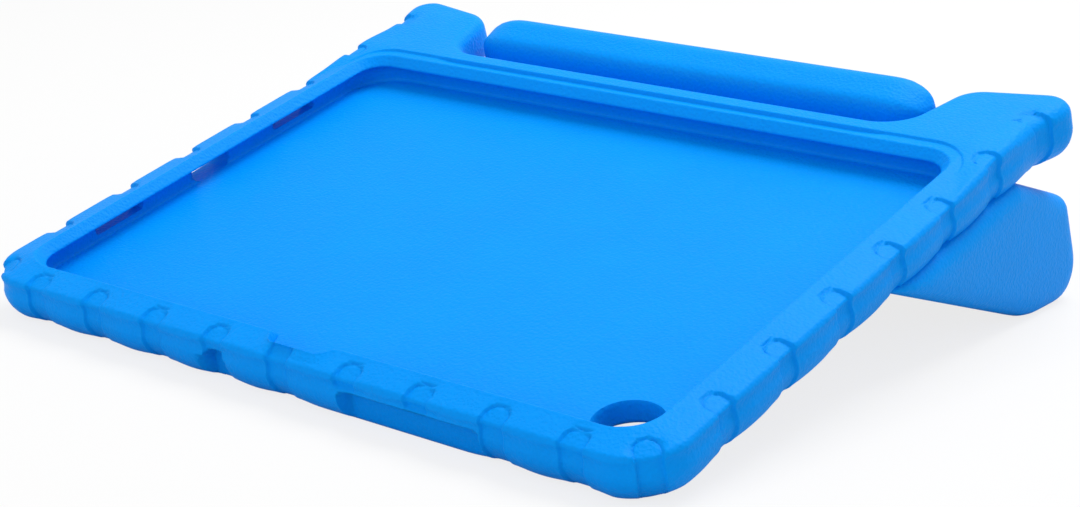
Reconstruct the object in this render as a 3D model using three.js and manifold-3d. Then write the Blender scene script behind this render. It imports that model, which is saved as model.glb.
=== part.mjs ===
// Kids tablet case: one soft foam moulding.
// A bumper frame with grip bands holds the tablet under a thin lip, two rounded feet stand out at the far
// corners with a hand notch between them, and a handle behind the notch doubles as a stand.
// Millimetres, +Z up. The case is drawn lying flat, with the tablet's screen at z = 0, x along its length
// and y towards the feet. It is then tilted to rest on its front edge and on the heel of the handle.

import * as THREE from 'three';
import { mergeVertices } from 'three/addons/utils/BufferGeometryUtils.js';
import Module from 'manifold-3d';

const wasm = await Module();
wasm.setup();

// The tablet that the pocket is made for, and the room round it
const tabletLength = 248.6;
const tabletWidth = 179.5;
const tabletThickness = 7;
const tabletCornerRadius = 18;
const pocketClearance = 0.4;

// Foam round the tablet
const endWall = 9.8;
const frontWall = 8.7;
const backWall = 9.1;
const lipCover = 4.4;
const lipHeight = 3.5;
const lipBevel = 2.7;
const openingCornerRadius = 9;

// Raised deck behind the window, with a sunk strip between its edge and the lip
const deckRise = 1;
const stripWidth = 4;
const rampLength = 22;
const rampRise = 2.5;

// Section of the bumper frame: lower rounding, steep wall, tight edge, and a top that falls outwards
const lowerEdgeRadius = 11;
const wallDraft = 4;
const topEdgeRadius = 2.5;
const topSlope = 12;
const deckSlope = 3;

// Outline, seen from above
const frontCornerRadius = 18;
const footRail = 10.3;
const footReach = 38;
const footWidth = 37.2;
const footCornerRadius = 9;
const footFlare = 3.9;
const footFlareAngle = 13;
const footFlareRadius = 40;
const footEndTurn = 12;
const footInnerRadius = 13;
const notchFillet = 13;
const notchWallAngle = 76;

// Grip bands pressed into the frame
const bandDepth = 1.4;
const bandWidth = 8;
const bandReach = 8;
const frontBandPitch = 26.6;
const frontBandCount = 9;
const sideBandPitch = 30.3;
const sideBandCount = 7;
const firstSideBand = 34.8;

// Notch for the tablet's front camera, and the hollows under the front wall
const cameraNotchCentre = 3.5;
const cameraNotchWidth = 19;
const cameraNotchDepth = 5;
const cameraNotchFlare = 4;
const ridgeDrop = 6;
const ridgeThickness = 1;
const longHollowStart = 24;
const longHollowEnd = 76;
const longHollowDepth = 4.5;
const longHollowRounding = 4;
const archCentre = -26.6;
const archWidth = 10.5;
const archHeight = 13;
const archDepth = 5.9;

// Openings to the tablet's own camera, socket and speakers
const lensHoleRadius = 10;
const lensInset = 19;
const lensFlare = 3;
const socketWidth = 18;
const socketHeight = 7.2;
const speakerSlotWidth = 22;
const speakerSlotHeight = 3;
const speakerSlotOffset = 44;

// Handle and stand
const handleOverhang = 0.5;
const handleEndRadius = 6;
const undersideAngle = 32.2;
const heelDepth = 50.2;
const heelWidth = 24.3;
const heelLead = 7.7;
const heelFrontRadius = 40;
const heelRearRadius = 12.3;
const rearLean = 10.8;
const shoulderAngle = 31.4;
const shoulderGap = 10.1;
const shoulderRadius = 4;

// Bar of the handle in the notch
const barEndGap = 3;
const barEndLength = 16;
const barEndRadius = 9;
const barGap = 11.5;
const barThickness = 18.4;
const barTop = 3.5;
const barTopSlope = 17;
const barFrontRadius = 5;
const barRearRadius = 6;

// Hand hole through the handle
const handHoleInset = 17;
const handHoleHeight = 22;
const handHoleDrop = 9.5;
const handHoleMouthRadius = 5;

// How far the foam flattens where it rests, the least radius left on an inset corner, and how far each
// cutting body runs past the surface that it cuts
const restFlat = 0.4;
const leastRadius = 0.6;
const overrun = 1;

const degrees = Math.PI / 180;
const foam = new THREE.MeshStandardMaterial({ color: 0x0d8cea, roughness: 0.55, metalness: 0 });

// Places that follow from the sizes
const pocketHalfLength = tabletLength / 2 + pocketClearance;
const pocketHalfWidth = tabletWidth / 2 + pocketClearance;
const pocketFloor = -tabletThickness - pocketClearance / 2;
const caseBottom = pocketFloor - backWall;
const deckTop = lipHeight + deckRise;
const halfLength = pocketHalfLength + endWall;
const frontReach = pocketHalfWidth + frontWall;
const openingHalfLength = tabletLength / 2 - lipCover;
const openingHalfWidth = tabletWidth / 2 - lipCover;
const widestLevel = caseBottom + lowerEdgeRadius;
const notchFloor = pocketHalfWidth + footRail;
const footEnd = notchFloor + footReach;
const notchHalfWidth = halfLength - footWidth;
const stripEdge = openingHalfWidth + lipBevel + stripWidth;
const handleHalfLength = halfLength + handleOverhang;
const barFront = notchFloor + barGap;
const barHalfLength = notchHalfWidth - barEndGap;
const handHoleHalfWidth = barHalfLength - handHoleInset;
const heelLevel = caseBottom - heelDepth;
const heelStart = rearAt(heelLevel) - heelWidth;
const handleRoot = heelStart - heelLead - heelDepth / Math.tan(undersideAngle * degrees);
const topInset = halfLength - openingHalfLength - lipBevel;

// Section of the frame: how far each level lies inside the widest outline, from the underside up.
// The top falls from the lip to the edge at `slope` degrees, and `shrink` moves the whole skin inwards,
// which gives the floor of the grip bands.
function frameSection(topLevel, slope, shrink) {
  const lowerSteps = 5;
  const upperSteps = 4;
  const draft = Math.tan(wallDraft * degrees);
  const fall = Math.tan(slope * degrees);
  const section = [];
  const lowerRadius = lowerEdgeRadius - shrink;
  for (let i = 0; i <= lowerSteps; i++) {
    const angle = (90 * degrees * i) / lowerSteps;
    section.push({
      inset: lowerEdgeRadius - lowerRadius * Math.sin(angle),
      level: widestLevel - lowerRadius * Math.cos(angle),
    });
  }
  const top = topLevel - shrink;
  const edgeLevel = (top - fall * (topInset - shrink + draft * widestLevel)) / (1 - fall * draft);
  const edgeInset = shrink + draft * (edgeLevel - widestLevel);
  const turn = (90 - wallDraft - slope) * degrees;
  const tangent = topEdgeRadius * Math.tan(turn / 2);
  const start = wallDraft * degrees;
  const centreInset = edgeInset - tangent * Math.sin(start) + topEdgeRadius * Math.cos(start);
  const centreLevel = edgeLevel - tangent * Math.cos(start) - topEdgeRadius * Math.sin(start);
  for (let i = 0; i <= upperSteps; i++) {
    const angle = start + (turn * i) / upperSteps;
    section.push({
      inset: centreInset - topEdgeRadius * Math.cos(angle),
      level: centreLevel + topEdgeRadius * Math.sin(angle),
    });
  }
  section.push({ inset: topInset, level: top });
  return section;
}

// Arc that touches two straight lines, each given by the direction of its outward normal and its distance
// from the middle. A negative radius puts the arc's centre outside the lines.
function centreBetween(normalA, distanceA, normalB, distanceB, radius) {
  const a = distanceA - radius;
  const b = distanceB - radius;
  const spread = Math.sin(normalB - normalA);
  return {
    x: (a * Math.sin(normalB) - b * Math.sin(normalA)) / spread,
    y: (b * Math.cos(normalA) - a * Math.cos(normalB)) / spread,
    radius,
  };
}

// Outline of the case at a given inset: arcs joined by straight lines. A positive radius is an outer
// corner, which shrinks with the inset down to the least radius and then moves inwards. A negative one
// is an inner corner, which grows.
function outlineArcs() {
  const side = -footFlareAngle * degrees;
  const end = (90 + footEndTurn) * degrees;
  const wall = (90 + notchWallAngle) * degrees;
  const back = 90 * degrees;
  const cornerX = halfLength + footFlare - footCornerRadius;
  const cornerY = footEnd - footCornerRadius;
  const distance = (x, y, normal) => x * Math.cos(normal) + y * Math.sin(normal);
  const sideDistance = distance(cornerX, cornerY, side) + footCornerRadius;
  const endDistance = distance(cornerX, cornerY, end) + footCornerRadius;
  const wallDistance = distance(notchHalfWidth, (notchFloor + footEnd) / 2, wall);
  const flare = centreBetween(0, halfLength, side, sideDistance, -footFlareRadius);
  const inner = centreBetween(end, endDistance, wall, wallDistance, footInnerRadius);
  const fillet = centreBetween(wall, wallDistance, back, notchFloor, -notchFillet);
  const rightHalf = [
    { x: halfLength - frontCornerRadius, y: -frontReach + frontCornerRadius, radius: frontCornerRadius,
      from: -back, to: 0, steps: 8 },
    { ...flare, from: 0, to: side, steps: 2 },
    { x: cornerX, y: cornerY, radius: footCornerRadius, from: side, to: end, steps: 7 },
    { ...inner, from: end, to: wall, steps: 5 },
    { ...fillet, from: wall, to: back, steps: 5 },
  ];
  const leftHalf = rightHalf.map((arc) => ({
    ...arc, x: -arc.x, from: 180 * degrees - arc.to, to: 180 * degrees - arc.from,
  }));
  return [...rightHalf, ...leftHalf.reverse()];
}

function outline(inset) {
  const points = [];
  for (const arc of outlineArcs()) {
    const reach = arc.radius > 0 ? Math.max(arc.radius - inset, leastRadius) : arc.radius - inset;
    const middle = (arc.from + arc.to) / 2;
    const shift = (inset + reach - arc.radius) / Math.cos((arc.to - arc.from) / 2);
    const x = arc.x - shift * Math.cos(middle);
    const y = arc.y - shift * Math.sin(middle);
    for (let i = 0; i <= arc.steps; i++) {
      const angle = arc.from + ((arc.to - arc.from) * i) / arc.steps;
      points.push(new THREE.Vector2(x + reach * Math.cos(angle), y + reach * Math.sin(angle)));
    }
  }
  return points;
}

function roundedRectangle(halfX, halfY, radius, steps) {
  const points = [];
  const corners = [[1, -1], [1, 1], [-1, 1], [-1, -1]];
  corners.forEach(([sideX, sideY], corner) => {
    for (let i = 0; i <= steps; i++) {
      const angle = (-90 + 90 * corner + (90 * i) / steps) * degrees;
      points.push(new THREE.Vector2(
        sideX * (halfX - radius) + radius * Math.cos(angle),
        sideY * (halfY - radius) + radius * Math.sin(angle),
      ));
    }
  });
  return points;
}

// A closed body through rings of equal length, each a closed loop of 3-D points, with flat ends
// filled from the 2-D outlines of the first and last ring.
function loft(rings, firstOutline, lastOutline) {
  const count = rings[0].length;
  const positions = rings.flat().flatMap((point) => [point.x, point.y, point.z]);
  const triangles = [];
  for (let ring = 0; ring < rings.length - 1; ring++) {
    for (let i = 0; i < count; i++) {
      const next = (i + 1) % count;
      const a = ring * count + i;
      const b = ring * count + next;
      triangles.push(a, b, b + count, a, b + count, a + count);
    }
  }
  const last = (rings.length - 1) * count;
  for (const [a, b, c] of THREE.ShapeUtils.triangulateShape(firstOutline, [])) {
    triangles.push(a, c, b);
  }
  for (const [a, b, c] of THREE.ShapeUtils.triangulateShape(lastOutline, [])) {
    triangles.push(last + a, last + b, last + c);
  }
  const geometry = new THREE.BufferGeometry();
  geometry.setAttribute('position', new THREE.Float32BufferAttribute(positions, 3));
  geometry.setIndex(triangles);
  return geometry;
}

function solid(geometry) {
  const bare = geometry.clone();
  bare.deleteAttribute('normal');
  bare.deleteAttribute('uv');
  const merged = mergeVertices(bare, 1e-4);
  const mesh = new wasm.Mesh({
    numProp: 3,
    vertProperties: new Float32Array(merged.attributes.position.array),
    triVerts: new Uint32Array(merged.index.array),
  });
  return new wasm.Manifold(mesh);
}

function levelRing(points, level) {
  return points.map((point) => new THREE.Vector3(point.x, point.y, level));
}

// Stack of outlines at rising levels, as a solid
function stack(layers) {
  const rings = layers.map((layer) => levelRing(layer.points, layer.level));
  return solid(loft(rings, layers[0].points, layers[layers.length - 1].points));
}

function frameLayers(topLevel, slope, shrink) {
  const section = frameSection(topLevel, slope, shrink);
  return stack(section.map((step) => ({ points: outline(step.inset), level: step.level })));
}

// Space under a plane that climbs rearwards and reaches the deck's height at the strip's edge
function underRamp(shrink) {
  const size = 4 * halfLength;
  const geometry = new THREE.BoxGeometry(size, size, size);
  geometry.translate(0, 0, -size / 2);
  geometry.rotateX(Math.atan2(rampRise, rampLength));
  geometry.translate(0, stripEdge, deckTop - shrink);
  return solid(geometry);
}

// The frame with its deck: the flat-topped body counts only behind the ramp
function frameBody(shrink) {
  const deck = frameLayers(deckTop, deckSlope, shrink).intersect(underRamp(shrink));
  return frameLayers(lipHeight, topSlope, shrink).add(deck);
}

// Room for the tablet, the bevelled window above it and the sunk strip round the window
function pocket() {
  const cornerSteps = 7;
  const room = stack([pocketFloor, 0].map((level) => ({
    points: roundedRectangle(pocketHalfLength, pocketHalfWidth, tabletCornerRadius, cornerSteps),
    level,
  })));
  const bevelSlope = lipBevel / lipHeight;
  const window = stack([pocketFloor / 2, deckTop + overrun].map((level) => {
    const grow = Math.max(level, 0) * bevelSlope;
    return {
      points: roundedRectangle(openingHalfLength + grow, openingHalfWidth + grow,
        openingCornerRadius + grow, cornerSteps),
      level,
    };
  }));
  const stripGrow = lipBevel + stripWidth;
  const strip = stack([lipHeight, deckTop + overrun].map((level) => ({
    points: roundedRectangle(openingHalfLength + stripGrow, openingHalfWidth + stripGrow,
      openingCornerRadius + stripGrow, cornerSteps),
    level,
  })));
  return room.add(window).add(strip);
}

// Plan of one grip band: straight sides and a round inner end, pointing inwards along -y
function bandShape() {
  const half = bandWidth / 2;
  const outside = footFlare + overrun;
  const shape = new THREE.Shape();
  shape.moveTo(half, outside);
  shape.lineTo(-half, outside);
  shape.lineTo(-half, half - bandReach);
  shape.absarc(0, half - bandReach, half, Math.PI, 2 * Math.PI, false);
  shape.closePath();
  return shape;
}

// A band's upright plug at a place on the outline, turned so that it points inwards
function bandPlug(x, y, turn, fromLevel) {
  const geometry = new THREE.ExtrudeGeometry(bandShape(), {
    depth: deckTop + overrun - fromLevel, bevelEnabled: false, curveSegments: 8,
  });
  geometry.rotateZ(turn);
  geometry.translate(x, y, fromLevel);
  return solid(geometry);
}

function bandPlugs() {
  const plugs = [];
  const below = caseBottom - overrun;
  const ridgeLevel = lipHeight - ridgeDrop;
  for (let i = 0; i < frontBandCount; i++) {
    const x = (i - (frontBandCount - 1) / 2) * frontBandPitch;
    const aboveHollow = x > longHollowStart && x < longHollowEnd;
    plugs.push(bandPlug(x, -frontReach, Math.PI, aboveHollow ? ridgeLevel : below));
  }
  for (let i = 0; i < sideBandCount; i++) {
    const y = -frontReach + firstSideBand + i * sideBandPitch;
    plugs.push(bandPlug(halfLength, y, -Math.PI / 2, below));
    plugs.push(bandPlug(-halfLength, y, Math.PI / 2, below));
  }
  for (const side of [1, -1]) {
    const reach = frontCornerRadius * Math.SQRT1_2;
    const x = side * (halfLength - frontCornerRadius + reach);
    const y = -frontReach + frontCornerRadius - reach;
    plugs.push(bandPlug(x, y, Math.PI + side * 45 * degrees, below));
  }
  return wasm.Manifold.union(plugs);
}

// Notch in the front lip that keeps clear of the tablet's front camera
function cameraNotch() {
  const inner = cameraNotchWidth / 2;
  const outer = inner + cameraNotchFlare;
  const edge = -(openingHalfWidth + lipBevel);
  const shape = new THREE.Shape();
  shape.moveTo(-outer, edge + overrun);
  shape.lineTo(-outer, edge);
  shape.bezierCurveTo(-inner, edge, -outer, edge - cameraNotchDepth, -inner, edge - cameraNotchDepth);
  shape.lineTo(inner, edge - cameraNotchDepth);
  shape.bezierCurveTo(outer, edge - cameraNotchDepth, inner, edge, outer, edge);
  shape.lineTo(outer, edge + overrun);
  shape.closePath();
  const geometry = new THREE.ExtrudeGeometry(shape, {
    depth: deckTop + overrun, bevelEnabled: false, curveSegments: 5,
  });
  geometry.translate(cameraNotchCentre, 0, 0);
  return solid(geometry);
}

// Upright outline in x and z that cuts into the front wall to a depth
function throughFrontWall(shape, depth) {
  const geometry = new THREE.ExtrudeGeometry(shape, {
    depth: depth + overrun, bevelEnabled: false, curveSegments: 8,
  });
  geometry.rotateX(Math.PI / 2);
  geometry.translate(0, -frontReach + depth, 0);
  return solid(geometry);
}

function frontHollows() {
  const ridgeLevel = lipHeight - ridgeDrop;
  const floor = caseBottom - overrun;
  const rounding = longHollowRounding;
  const spring = ridgeLevel - ridgeThickness - rounding;
  const long = new THREE.Shape();
  long.moveTo(longHollowStart, floor);
  long.lineTo(longHollowEnd, floor);
  long.lineTo(longHollowEnd, spring);
  long.absarc(longHollowEnd - rounding, spring, rounding, 0, Math.PI / 2, false);
  long.absarc(longHollowStart + rounding, spring, rounding, Math.PI / 2, Math.PI, false);
  long.closePath();
  const arch = new THREE.Shape();
  const half = archWidth / 2;
  const archSpring = caseBottom + archHeight - half;
  arch.moveTo(archCentre - half, floor);
  arch.lineTo(archCentre + half, floor);
  arch.lineTo(archCentre + half, archSpring);
  arch.absarc(archCentre, archSpring, half, 0, Math.PI, false);
  arch.closePath();
  return throughFrontWall(long, longHollowDepth).add(throughFrontWall(arch, archDepth));
}

function slotShape(width, height) {
  const radius = height / 2;
  const shape = new THREE.Shape();
  shape.absarc(width / 2 - radius, 0, radius, -Math.PI / 2, Math.PI / 2, false);
  shape.absarc(radius - width / 2, 0, radius, Math.PI / 2, 1.5 * Math.PI, false);
  shape.closePath();
  return shape;
}

// Slot through the left end wall, for the socket or a row of speaker holes
function endWallSlot(width, height, y) {
  const inside = 2 * overrun;
  const depth = endWall + 2 * inside;
  const geometry = new THREE.ExtrudeGeometry(slotShape(width, height), {
    depth, bevelEnabled: false, curveSegments: 6,
  });
  geometry.rotateX(Math.PI / 2);
  geometry.rotateZ(Math.PI / 2);
  geometry.translate(-pocketHalfLength + inside - depth, y, -tabletThickness / 2);
  return solid(geometry);
}

// Round hole in the back for the tablet's rear camera, flared outwards
function lensHole() {
  const x = tabletLength / 2 - lensInset;
  const y = lensInset - tabletWidth / 2;
  const profile = [
    new THREE.Vector2(0, caseBottom - overrun),
    new THREE.Vector2(lensHoleRadius + lensFlare + overrun, caseBottom - overrun),
    new THREE.Vector2(lensHoleRadius, caseBottom + lensFlare),
    new THREE.Vector2(lensHoleRadius, pocketFloor + overrun),
    new THREE.Vector2(0, pocketFloor + overrun),
  ];
  const geometry = new THREE.LatheGeometry(profile, 24);
  geometry.rotateX(Math.PI / 2);
  geometry.translate(x, y, 0);
  return solid(geometry);
}

// Where a line through one point in a given direction meets another such line, in the side view
function meet(a, angleA, b, angleB) {
  const ax = Math.cos(angleA);
  const ay = Math.sin(angleA);
  const bx = Math.cos(angleB);
  const by = Math.sin(angleB);
  const t = ((b.x - a.x) * by - (b.y - a.y) * bx) / (ax * by - ay * bx);
  return new THREE.Vector2(a.x + t * ax, a.y + t * ay);
}

// Where the leaning rear face of the handle and bar stands at a level
function rearAt(level) {
  return barFront + barThickness + (barTop - level) * Math.tan(rearLean * degrees);
}

// Floor line under the case: it passes the heel point and touches the front edge's lower rounding
const heelPoint = new THREE.Vector2(heelStart, heelLevel);
const frontCentre = new THREE.Vector2(-frontReach + lowerEdgeRadius, widestLevel);
const heelSpan = heelPoint.clone().sub(frontCentre);
const tilt = -Math.atan2(heelSpan.y, heelSpan.x) - Math.asin(lowerEdgeRadius / heelSpan.length());

// Side profile of the handle as corners with radii. x is the case's y, and y is its z.
function handleCorners() {
  const buried = caseBottom + backWall / 2;
  const under = -undersideAngle * degrees;
  const rear = (90 + rearLean) * degrees;
  const shoulder = (180 - shoulderAngle) * degrees;
  const root = new THREE.Vector2(handleRoot, caseBottom);
  const rearPoint = new THREE.Vector2(rearAt(caseBottom), caseBottom);
  const shoulderPoint = new THREE.Vector2(notchFloor + shoulderGap, caseBottom);
  const level = new THREE.Vector2(0, buried);
  return [
    { point: meet(root, under, level, 0), radius: 0, steps: 0 },
    { point: meet(root, under, heelPoint, -tilt), radius: heelFrontRadius, steps: 4 },
    { point: meet(rearPoint, rear, heelPoint, -tilt), radius: heelRearRadius, steps: 7 },
    { point: meet(rearPoint, rear, shoulderPoint, shoulder), radius: shoulderRadius, steps: 4 },
    { point: meet(shoulderPoint, shoulder, level, 0), radius: 0, steps: 0 },
  ];
}

// Corners moved inwards by an inset, each with a smaller rounding, as points along the loop
function roundedLoop(corners, inset) {
  const count = corners.length;
  const moved = corners.map((corner, i) => {
    const before = corners[(i + count - 1) % count].point;
    const after = corners[(i + 1) % count].point;
    const angleIn = Math.atan2(corner.point.y - before.y, corner.point.x - before.x);
    const angleOut = Math.atan2(after.y - corner.point.y, after.x - corner.point.x);
    const shift = (angle) => new THREE.Vector2(
      corner.point.x - inset * Math.sin(angle), corner.point.y + inset * Math.cos(angle));
    return { point: meet(shift(angleIn), angleIn, shift(angleOut), angleOut), angleIn, angleOut };
  });
  const points = [];
  moved.forEach(({ point, angleIn, angleOut }, i) => {
    const { radius, steps } = corners[i];
    if (steps === 0) {
      points.push(point);
      return;
    }
    const turn = Math.atan2(Math.sin(angleOut - angleIn), Math.cos(angleOut - angleIn));
    const left = Math.max(radius - inset, leastRadius);
    const tangent = left * Math.tan(turn / 2);
    const startX = point.x - tangent * Math.cos(angleIn);
    const startY = point.y - tangent * Math.sin(angleIn);
    const centreX = startX - left * Math.sin(angleIn);
    const centreY = startY + left * Math.cos(angleIn);
    for (let s = 0; s <= steps; s++) {
      const angle = angleIn - 90 * degrees + (turn * s) / steps;
      points.push(new THREE.Vector2(centreX + left * Math.cos(angle), centreY + left * Math.sin(angle)));
    }
  });
  return points;
}

// A side profile lofted along x between ends that round off over a length, while they shrink by a radius
function roundEnded(corners, halfLengthX, endLength, endRadius) {
  const steps = 5;
  const sections = [];
  for (let i = 0; i <= steps; i++) {
    const angle = (90 * degrees * i) / steps;
    sections.push({
      x: halfLengthX - endLength + endLength * Math.sin(angle),
      inset: endRadius - endRadius * Math.cos(angle),
    });
  }
  const half = sections.map((section) => ({ ...section, x: -section.x })).reverse();
  const all = [...half, ...sections];
  const loops = all.map((section) => roundedLoop(corners, section.inset));
  const rings = loops.map((loop, i) => loop.map((p) => new THREE.Vector3(all[i].x, p.x, p.y)));
  return solid(loft(rings, loops[0], loops[loops.length - 1]));
}

// Bar in the notch: it rises from the shoulder of the handle and ends in rounded noses beside the feet
function barCorners() {
  const rear = (90 + rearLean) * degrees;
  const rearPoint = new THREE.Vector2(rearAt(caseBottom), caseBottom);
  const front = new THREE.Vector2(barFront, barTop);
  const slope = barTopSlope * degrees;
  const base = new THREE.Vector2(0, caseBottom - heelDepth / 2);
  return [
    { point: meet(front, 90 * degrees, base, 0), radius: 0, steps: 0 },
    { point: meet(rearPoint, rear, base, 0), radius: 0, steps: 0 },
    { point: meet(rearPoint, rear, front, slope), radius: barRearRadius, steps: 5 },
    { point: front, radius: barFrontRadius, steps: 5 },
  ];
}

// Hand hole: a wide slot that runs from the underside to the rear face, with rounded mouths
function handHole() {
  const under = Math.tan(undersideAngle * degrees);
  const top = caseBottom - handHoleDrop;
  const middle = top - handHoleHeight / 2;
  const rounding = handHoleMouthRadius;
  const stations = [];
  const steps = 4;
  for (let i = 0; i <= steps; i++) {
    const angle = (90 * degrees * i) / steps;
    const grow = rounding * (1 - Math.sin(angle));
    const along = rounding * (1 - Math.cos(angle));
    stations.push({ grow, along });
  }
  const section = (grow) => roundedRectangle(
    handHoleHalfWidth + grow, handHoleHeight / 2 + grow, handHoleHeight / 2 + grow, 6);
  const mouth = (grow, yOf) => section(grow).map((p) => {
    const level = middle + p.y;
    return new THREE.Vector3(p.x, yOf(level), level);
  });
  const underY = (level) => handleRoot + (caseBottom - level) / under;
  const rings = [
    mouth(rounding, (level) => underY(level) - overrun),
    ...stations.map(({ grow, along }) => mouth(grow, (level) => underY(level) + along)),
    ...[...stations].reverse().map(({ grow, along }) => mouth(grow, (level) => rearAt(level) - along)),
    mouth(rounding, (level) => rearAt(level) + overrun),
  ];
  const ends = section(rounding);
  return solid(loft(rings.reverse(), ends, ends));
}

// Space below the floor line, which flattens the foam slightly where it rests
function floorSlab() {
  const size = 4 * halfLength;
  const geometry = new THREE.BoxGeometry(size, size, size);
  geometry.translate(0, 0, -size / 2 + restFlat);
  const placed = geometry.applyMatrix4(restPlacement().invert());
  return solid(placed);
}

// Turns the flat drawing so that the floor line is level at z = 0
function restPlacement() {
  const turn = new THREE.Matrix4().makeRotationX(tilt);
  const height = heelPoint.x * Math.sin(tilt) + heelPoint.y * Math.cos(tilt);
  return new THREE.Matrix4().makeTranslation(0, 0, -height).multiply(turn);
}

function caseGeometry() {
  const bands = bandPlugs().subtract(frameBody(bandDepth));
  const frame = frameBody(0).subtract(bands).subtract(frontHollows());
  const wedge = roundEnded(handleCorners(), handleHalfLength, handleEndRadius, handleEndRadius);
  const bar = roundEnded(barCorners(), barHalfLength, barEndLength, barEndRadius);
  const handle = wedge.add(bar).subtract(handHole());
  const pierced = frame.add(handle)
    .subtract(pocket())
    .subtract(cameraNotch())
    .subtract(lensHole())
    .subtract(endWallSlot(socketWidth, socketHeight, 0))
    .subtract(endWallSlot(speakerSlotWidth, speakerSlotHeight, speakerSlotOffset))
    .subtract(endWallSlot(speakerSlotWidth, speakerSlotHeight, -speakerSlotOffset))
    .subtract(floorSlab());
  const mesh = pierced.getMesh();
  const geometry = new THREE.BufferGeometry();
  geometry.setAttribute('position', new THREE.Float32BufferAttribute(mesh.vertProperties, 3));
  geometry.setIndex(new THREE.Uint32BufferAttribute(mesh.triVerts, 1));
  geometry.computeVertexNormals();
  return geometry;
}

const tabletCase = new THREE.Mesh(caseGeometry(), foam);
tabletCase.name = 'tablet_case';

// The part's frame has its origin at the middle of the footprint, on the floor
const tilted = new THREE.Group();
tilted.rotation.x = tilt;
tilted.add(tabletCase);
tilted.updateMatrixWorld(true);
const bounds = new THREE.Box3().setFromObject(tilted, true);
tilted.position.set(0, -(bounds.min.y + bounds.max.y) / 2, -bounds.min.z);

const part = new THREE.Group();
part.name = 'kids_tablet_case';
part.add(tilted);

export default part;
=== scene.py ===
"""Kids tablet case in soft azure foam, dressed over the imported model.

The bumper and the handle are worked out in millimetres in the case's own lying frame, with the underside
of the lip at z = 0, x along the case and y towards the feet. `placed` then tilts them onto the floor. A
level is a height in that frame, and an inset is a distance inwards from the outline seen from above.
"""

import math

import bpy
import numpy as np
from mathutils import Matrix


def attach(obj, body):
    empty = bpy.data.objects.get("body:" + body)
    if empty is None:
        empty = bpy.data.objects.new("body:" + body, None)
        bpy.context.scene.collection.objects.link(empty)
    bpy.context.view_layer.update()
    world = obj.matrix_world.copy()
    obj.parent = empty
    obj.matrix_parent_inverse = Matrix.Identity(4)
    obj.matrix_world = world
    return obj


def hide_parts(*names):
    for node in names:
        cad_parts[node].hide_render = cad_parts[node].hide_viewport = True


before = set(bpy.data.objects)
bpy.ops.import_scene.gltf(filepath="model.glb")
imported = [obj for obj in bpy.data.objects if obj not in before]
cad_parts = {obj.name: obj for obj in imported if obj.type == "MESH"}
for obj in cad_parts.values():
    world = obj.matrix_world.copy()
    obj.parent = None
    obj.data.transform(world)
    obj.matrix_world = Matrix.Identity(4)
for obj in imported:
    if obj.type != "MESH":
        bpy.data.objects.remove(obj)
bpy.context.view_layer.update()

# Rest position of the lying case: its tilt, and its shift back and up
TILT = math.radians(13.533647)
SHIFT = (0.0, -27.675823, 36.311175)

# Pocket and window
POCKET_HALF = (124.7, 90.15)
POCKET_RADIUS = 18.0
POCKET_FLOOR = -7.2
POCKET_FILLET = 1.2
POCKET_CHAMFER = 0.4
WINDOW_SKELETON = (110.9, 76.35)
WINDOW_RADIUS = 9.0
LIP_EDGE = 0.5
LIP_TOP = 3.5
LIP_BEVEL = 2.7
LIP_REACH = WINDOW_RADIUS + LIP_BEVEL
STRIP_WIDTH = 4.0
STRIP_REACH = LIP_REACH + STRIP_WIDTH

# Bumper
HALF_LENGTH = 134.5
FRONT_REACH = 98.85
CASE_BOTTOM = -16.3
LOWER_RADIUS = 11.0
WIDEST = CASE_BOTTOM + LOWER_RADIUS
WALL_DRAFT = math.radians(4)
EDGE_RADIUS = 2.5
FOOT_EDGE_RADIUS = 4.5
TOP_INSET = 11.9
TOP_FALL = math.tan(math.radians(12))
DECK_TOP = 4.5
DECK_FALL = math.tan(math.radians(3))
DECK_FROM = 92.05
DECK_SOFT = 0.15
RAMP = 2.5 / 22
RAMP_SOFT = 0.3

# Outline seen from above
FRONT_CORNER = 18.0
NOTCH_FLOOR = 100.45
FOOT_REACH = 38.0
FOOT_WIDTH = 37.2
FOOT_CORNER = 9.0
FOOT_FLARE = 3.9
FOOT_FROM = 96
FOOT_FADE = 14
FLARE_ANGLE = math.radians(13)
FLARE_RADIUS = 40.0
END_TURN = math.radians(12)
INNER_CORNER = 13.0
NOTCH_FILLET = 13.0
NOTCH_WALL = math.radians(76)
LEAST_RADIUS = 0.6

# Stations round the outline, and insets between which the top's slope is measured
WIDE_STEP = 2.0
FINE_STEP = 0.3
FINE_ZONE = 1.1
EDGE_INSET = 0.45
TRUE_INSET = 6.0

# Grip bands: places, then their section
FRONT_BANDS = 9
FRONT_BAND_STEP = 26.6
SIDE_BANDS = 7
SIDE_BAND_START = 34.8
SIDE_BAND_STEP = 30.3
BAND_HALF = 4.0
BAND_REACH = 8.0
BAND_DEPTH = 1.45
BAND_END_DEPTH = 0.35
BAND_FALL_FROM = 1.5
BAND_SOFT = 0.45
BAND_LINE = 0.75
BAND_LINE_WIDTH = 0.42
BAND_LINE_INSET = 0.2
BAND_TOP_LEVEL = -1.5
BAND_TOP_FADE = 2.0
PAD_SINK = 0.5
PAD_RUN = 5.0
PAD_TOP_SINK = 0.18
PAD_TOP_RUN = 1.6

# Waist pressed into the wall under its top edge
WAIST_DEPTH = 0.55
WAIST_LEVEL = -2.6
WAIST_RUN = 2.4
WAIST_ROWS = 5

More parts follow.
